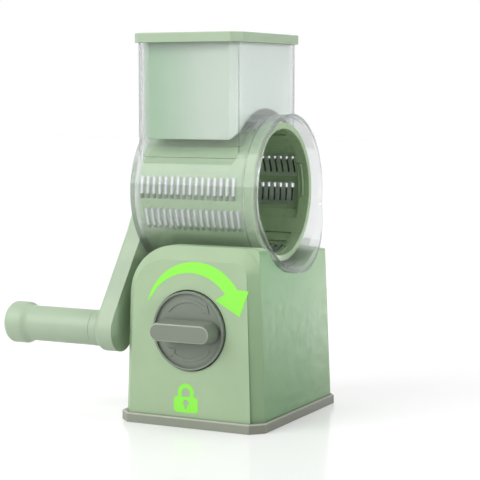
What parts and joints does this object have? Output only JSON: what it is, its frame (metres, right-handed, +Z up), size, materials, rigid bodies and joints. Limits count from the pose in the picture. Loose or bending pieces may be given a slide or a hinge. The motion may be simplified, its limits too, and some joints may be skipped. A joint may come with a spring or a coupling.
{
  "type": "rotary cabbage shredder",
  "caption": "Hand cranked rotary vegetable shredder: suction base with lock knob, toothed drum in a clear housing with hopper and pusher, and a side crank with a grip.",
  "frame": {"origin": "on the table plane, under the middle of the base, in the plane of the foot frame's underside", "axes": "+Z up, +X along the drum axis towards the outlet mouth (the crank is on -X), -Y is the front face with the lock knob"},
  "size_m": [0.2291, 0.1616, 0.3],
  "materials": {
    "sage_green_plastic": "satin",
    "pale_green_plastic": "satin",
    "clear_plastic": "gloss",
    "warm_grey_plastic": "satin",
    "white_plastic": "satin",
    "stainless_steel": "polished",
    "grey_rubber": "matte"
  },
  "bodies": {
    "base": {"base_housing": "sage_green_plastic", "foot_frame": "warm_grey_plastic", "bottom_plate": "white_plastic", "base_screws": "stainless_steel", "suction_cup": "grey_rubber", "stem_spring": "stainless_steel", "clear_housing": "clear_plastic", "axle_bush": "white_plastic"},
    "crank": {"crank_arm": "sage_green_plastic", "crank_axle": "stainless_steel", "axle_screw": "stainless_steel", "hub_cover": "sage_green_plastic", "crank_pin": "stainless_steel", "drum_frame": "sage_green_plastic", "shredding_plate_1": "sage_green_plastic", "shredding_plate_2": "sage_green_plastic", "shredding_plate_3": "sage_green_plastic", "shredding_plate_4": "sage_green_plastic", "tooth_strips_1": "stainless_steel", "tooth_strips_2": "stainless_steel", "tooth_strips_3": "stainless_steel", "tooth_strips_4": "stainless_steel"},
    "grip": {"grip": "sage_green_plastic", "grip_cap": "sage_green_plastic"},
    "pusher": {"pusher_cap": "sage_green_plastic", "pusher_block": "pale_green_plastic"},
    "knob": {"lock_knob": "warm_grey_plastic", "cam_shaft": "white_plastic", "knob_screws": "stainless_steel", "shaft_clip": "stainless_steel"},
    "stem": {"suction_stem": "white_plastic"}
  },
  "joints": [
    {"name": "crank_spin", "type": "hinge", "parent": "base", "child": "crank", "pos_m": [0, 0, 0.177], "axis": [1, 0, 0], "continuous": true},
    {"name": "grip_spin", "type": "hinge", "parent": "crank", "child": "grip", "pos_m": [0, -0.06105, 0.06953], "axis": [1, 0, 0], "continuous": true},
    {"name": "pusher_lift", "type": "slide", "parent": "base", "child": "pusher", "axis": [0, 0, 1], "range_m": [0, 0.11]},
    {"name": "knob_turn", "type": "hinge", "parent": "base", "child": "knob", "pos_m": [0, 0, 0.0742], "axis": [0, 1, 0], "range_deg": [0, 90]},
    {"name": "stem_lift", "type": "slide", "parent": "base", "child": "stem", "axis": [0, 0, 1], "range_m": [0, 0.00283], "deforming": ["suction_cup", "stem_spring"]}
  ],
  "couplings": [
    {"joint": "stem_lift", "follows": "knob_turn", "m_per_rad": 0.0018}
  ]
}
